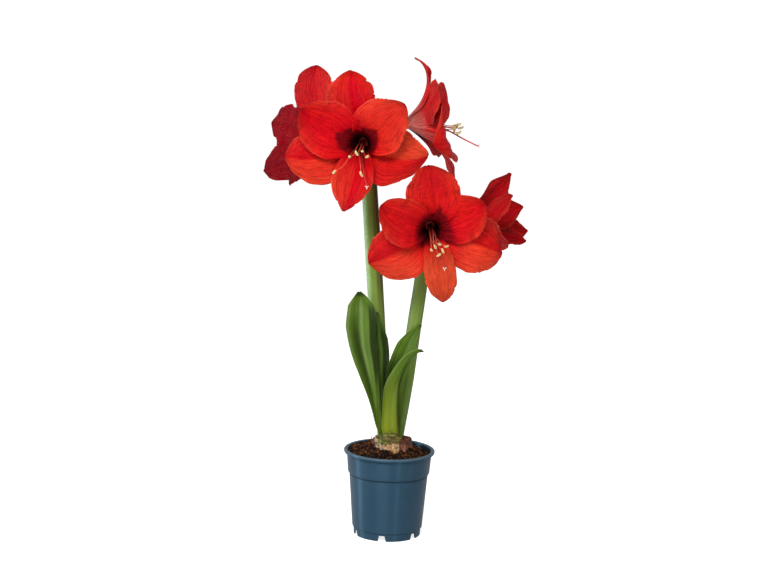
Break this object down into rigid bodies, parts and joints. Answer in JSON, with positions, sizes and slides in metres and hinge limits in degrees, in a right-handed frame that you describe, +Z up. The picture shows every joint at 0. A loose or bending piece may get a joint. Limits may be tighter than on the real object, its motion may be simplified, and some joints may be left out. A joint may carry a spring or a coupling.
{
  "type": "potted amaryllis",
  "caption": "Red amaryllis in bloom, growing from a bulb in a round plastic nursery pot, with strap leaves and tall flower stems.",
  "frame": {"origin": "On the surface that the pot stands on, under the middle of the box round the whole plant. The pot's axis is 2 mm towards +X and 15.5 mm towards +Y from it.", "axes": "+Z up along the pot's axis, -Y the way the two large front blooms face, +X to the right as seen from the front"},
  "size_m": [0.3521, 0.1858, 0.6273],
  "materials": {
    "pot_plastic": "satin",
    "soil": "matte",
    "bulb_skin": "matte",
    "stem": "satin",
    "leaf": "satin",
    "petal": "satin",
    "stamen": "satin"
  },
  "bodies": {
    "root": {"pot": "pot_plastic", "soil": "soil", "bulb": "bulb_skin", "tall_stem": "stem", "short_stem": "stem", "leaf_left": "leaf", "leaf_left_inner": "leaf", "leaf_right": "leaf", "leaf_front": "leaf", "tall_front_tepals": "petal", "tall_front_stamens": "stamen", "tall_left_tepals": "petal", "tall_left_stamens": "stamen", "tall_right_tepals": "petal", "tall_right_stamens": "stamen", "short_front_tepals": "petal", "short_front_stamens": "stamen", "short_right_tepals": "petal", "short_right_stamens": "stamen"}
  },
  "joints": []
}
